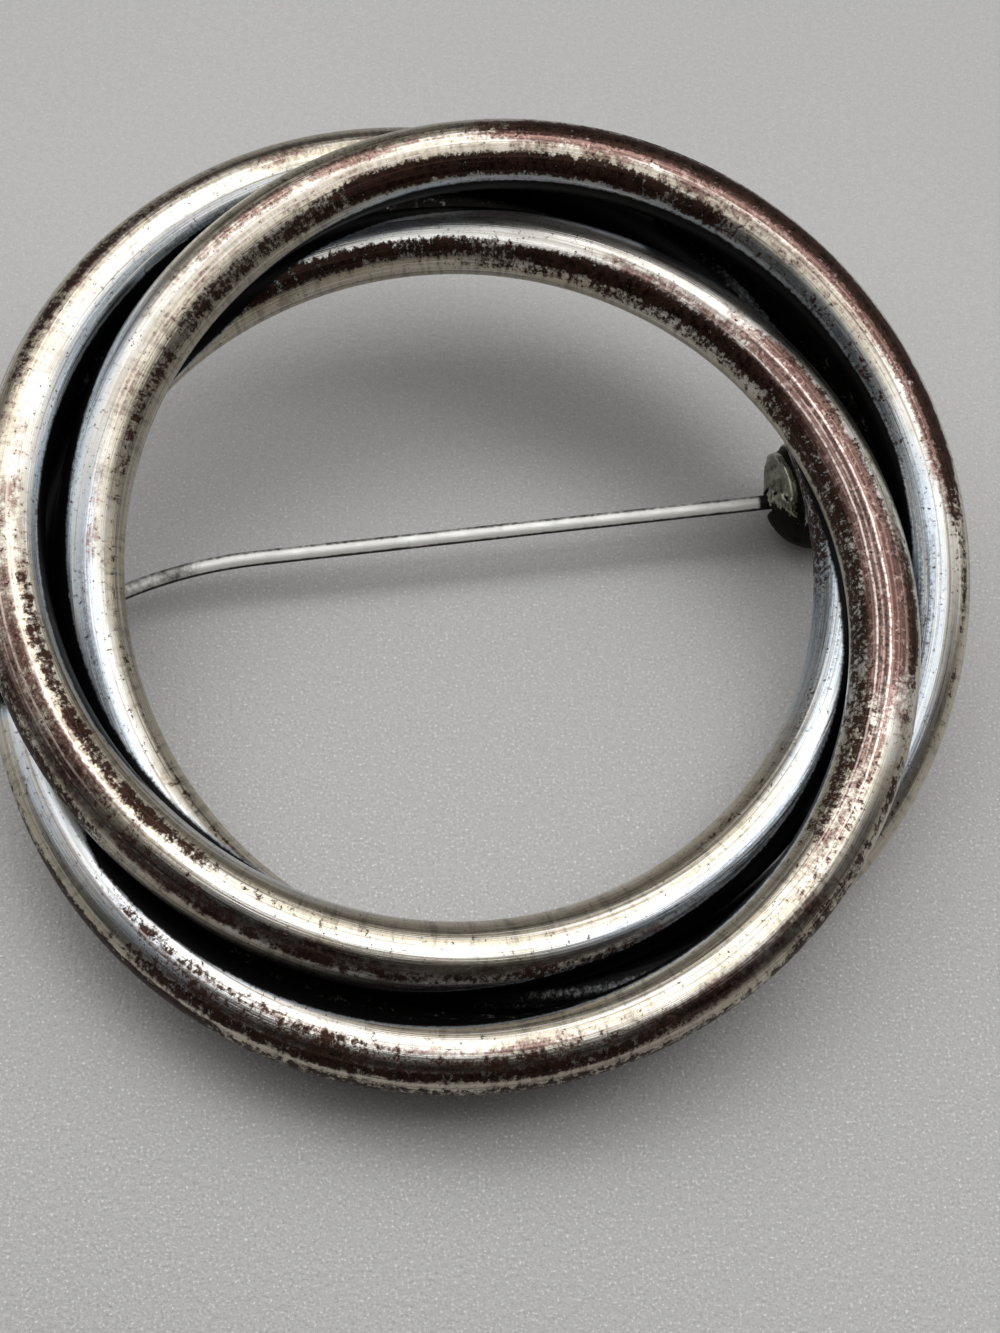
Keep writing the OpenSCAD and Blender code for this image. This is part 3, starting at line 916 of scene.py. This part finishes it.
def pin_wire():
    """Wire of the pin, a little flat near its eye, and the points that it follows."""
    segments = WIRE_SIDES
    points, along, s, radius = pin_path()
    side = np.stack([-along[:, 1], along[:, 0], 0 * s], -1)
    t = np.arange(segments) * 2 * math.pi / segments
    flat = 1 - 0.16 * smooth((2.4 - s) / 1.6)
    ring = np.cos(t)[None, :, None] * side[:, None] * flat[:, None, None] + np.sin(t)[None, :, None] * UP
    verts = (points[:, None] + ring * radius[:, None, None]).reshape(-1, 3)
    last, tip = (len(s) - 1) * segments, len(verts)
    verts = np.concatenate([verts, [points[-1] + along[-1] * TIP_CAP]])
    around = [(j, (j + 1) % segments) for j in range(segments)]
    faces = [(i + j, i + k, i + segments + k, i + segments + j)
             for i in range(0, last, segments) for j, k in around]
    faces += [(last + j, last + k, tip) for j, k in around]
    faces.append(tuple(reversed(range(segments))))
    return mesh_object("temporary", verts, faces), points


def pin_eye():
    """Flat ring round the rivet with softened edges."""
    mid, half = (EYE_R + EYE_BORE_R) / 2, (EYE_R - EYE_BORE_R) / 2
    corner = [(half - EYE_SOFT * (1 - math.cos(a)), EYE_T / 2 - EYE_SOFT * (1 - math.sin(a)))
              for a in np.linspace(0, math.pi / 2, 4)]
    outline = (corner + [(-r, y) for r, y in reversed(corner)]
               + [(-r, -y) for r, y in corner] + [(r, -y) for r, y in reversed(corner)])
    m, around = len(outline), EYE_SIDES
    verts = [((mid + r) * math.cos(a), y, (mid + r) * math.sin(a))
             for a in np.arange(around) * 2 * math.pi / around for r, y in outline]
    faces = [(i * m + j, (i + 1) % around * m + j, (i + 1) % around * m + (j + 1) % m, i * m + (j + 1) % m)
             for i in range(around) for j in range(m)]
    return mesh_object("temporary", verts, faces)


def make_pin():
    eye = pin_eye()
    stem, points = pin_wire()
    for ob in (eye, stem):
        face_outward(ob)
    add_boolean(stem, "UNION", eye)
    verts, _, faces = evaluated(stem)
    discard((eye, stem))
    x, y, z = verts.T
    # How far a place faces the front's lower edge. The wire is darkened there, in the ball and near the catch
    # as painted shade, and along its top edge as a painted dark reflection.
    low = 0.9 * (y - np.interp(x, points[:, 0], points[:, 1])) - 0.45 * z
    oxide_grime_shade = np.maximum.reduce([0.95 * smooth((2.9 - x) / 0.5), 0.80 * smooth((low - 0.12) / 0.10),
                              0.60 * smooth((-0.21 - low) / 0.08), 0.48 * smooth((x - 25.8) / 2.0)])
    place("pin", verts, faces, PIN_AXES, BALL, "pin", ["pin_stem"], "pin_nickel_silver", wire, oxide_grime_shade)


make_ball_joint()
make_catch()
make_solder()
make_shade_webs()
make_rivet()
make_pin()


# ---------------------------------------------------------------- table, light and camera
TABLE_SIZE = 1.5                        # metres


def make_table():
    ob = drawn("table", lambda bm: bmesh.ops.create_grid(bm, x_segments=8, y_segments=8, size=TABLE_SIZE))
    ob.data.materials.append(table_top("table_top"))


# Light of the room, added up. Columns: tilt from straight up towards the north, from and to, softness;
# the same towards the east; colour. All tilts are in degrees.
AMBIENT = (0.022, 0.019, 0.017)
LIGHTS = [
    (39, 57, 4, -53, 140, 8, (0.42, 0.41, 0.40)),       # top of the north wall
    (-6, 47, 8, -85, 85, 12, (1.11, 1.105, 1.095)),     # ceiling
    (-21, -11, 3, -85, 30, 7, (0.81, 0.81, 0.81)),      # ceiling behind the lens
    (18, 33, 4, -36, 21, 6, (1.76, 1.76, 1.74)),        # northern lamp
    (-2, 15, 4, 4, 38, 6, (1.50, 1.49, 1.46)),          # lamp overhead
]


def make_world():
    world = bpy.data.worlds.new("room")
    bpy.context.scene.world = world
    world.use_nodes = True
    g = Graph(world.node_tree)
    x, y, z = g.parts(g.add("ShaderNodeTexCoord").outputs["Generated"])
    north = g.math("DEGREES", g.math("ARCTAN2", y, z))
    east = g.math("DEGREES", g.math("ARCSINE", x))

    def within(value, low, high, soft):
        return g.times(g.span(value, low - soft, low + soft), g.span(value, high + soft, high - soft))

    colour = AMBIENT
    for n0, n1, n_soft, e0, e1, e_soft, tint in LIGHTS:
        share = g.times(within(north, n0, n1, n_soft), within(east, e0, e1, e_soft))
        colour = g.mix(share, colour, tint, blend="ADD")
    back = g.add("ShaderNodeBackground")
    g.feed(back.inputs["Color"], colour)
    g.feed(g.add("ShaderNodeOutputWorld").inputs[0], back.outputs[0])


# The camera's right, up and backward directions, its place in millimetres and its focal length.
CAMERA_AXES = ((0.99506, -0.03557, 0.09271), (-0.00713, 0.90563, 0.42401), (-0.09905, -0.42257, 0.9009))
CAMERA_AT, LENS = (-7.827, -39.57, 82.653), 57.642


def make_camera():
    data = bpy.data.cameras.new("camera")
    data.lens, data.clip_start, data.clip_end = LENS, 0.005, 10
    camera = link("camera", data)
    camera.matrix_world = Matrix.Translation(Vector(CAMERA_AT) * MM) @ Matrix(CAMERA_AXES).transposed().to_4x4()
    bpy.context.scene.camera = camera
    return camera


# Corners of the card in the camera's own axes, millimetres, just behind its lens.
CARD = [(-62, -138, 3), (10, -138, 3), (10, 15, 3), (-62, 15, 3)]


def make_flag(camera):
    """Black card beside the lens, which keeps the light off the front as the photograph's camera did."""
    card = mesh_object("flag_card", np.array(CARD) * MM, [(0, 1, 2, 3)])
    card.matrix_world = camera.matrix_world.copy()
    card.visible_camera = False
    mat, g = material("card_black")
    weave = g.noise(g.place(), 600, 3, 0.5)
    g.surface(Base_Color=g.mix(weave, (0.012, 0.012, 0.012), (0.020, 0.020, 0.020)), Roughness=0.8)
    card.data.materials.append(mat)


FILL_AT, FILL_WIDE, FILL_HIGH = (9, -12, 60), 58, 30    # millimetres
FILL_RADIANCE = 1.0


def make_fill(pieces):
    """Soft area light between the lens and the brooch, which only the rings and the pin receive."""
    data = bpy.data.lights.new("front_fill", "AREA")
    data.shape, data.size, data.size_y = "RECTANGLE", FILL_WIDE * MM, FILL_HIGH * MM
    data.energy = FILL_RADIANCE * math.pi * data.size * data.size_y
    lamp = link("front_fill", data)
    lamp.location = Vector(FILL_AT) * MM
    lamp.visible_camera = False
    group = bpy.data.collections.new("lit_by_fill")
    for ob in pieces:
        group.objects.link(ob)
    lamp.light_linking.receiver_collection = group


make_table()
make_world()
make_flag(make_camera())
make_fill([bpy.data.objects[n] for n in (*RINGS, "pin")])
bpy.context.scene.view_settings.view_transform = "Standard"

bpy.context.view_layer.update()
